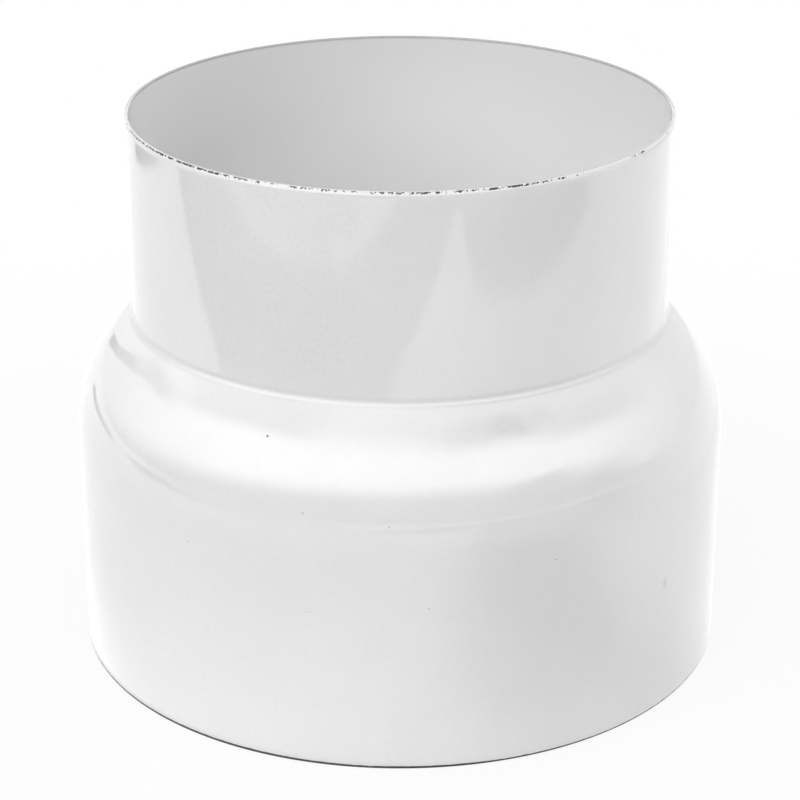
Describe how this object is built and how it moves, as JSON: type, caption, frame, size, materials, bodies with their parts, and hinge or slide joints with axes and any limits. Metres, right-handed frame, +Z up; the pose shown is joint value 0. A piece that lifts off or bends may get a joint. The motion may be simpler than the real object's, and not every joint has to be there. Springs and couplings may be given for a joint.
{
  "type": "duct reducer",
  "caption": "Round enamelled steel duct reducer: a wide socket, a rolled shoulder and a narrower spigot that joins a wide round pipe to a narrower one.",
  "frame": {"origin": "centre of the bottom rim, on the duct axis", "axes": "+Z up the duct axis, from the socket to the spigot; the part is round, so +X and +Y are any pair across it"},
  "size_m": [0.152, 0.152, 0.1279],
  "materials": {
    "enamel": "gloss white vitreous enamel, worn to the dark steel along the cut edges"
  },
  "bodies": {
    "root": {"reducer": "enamel"}
  },
  "joints": []
}
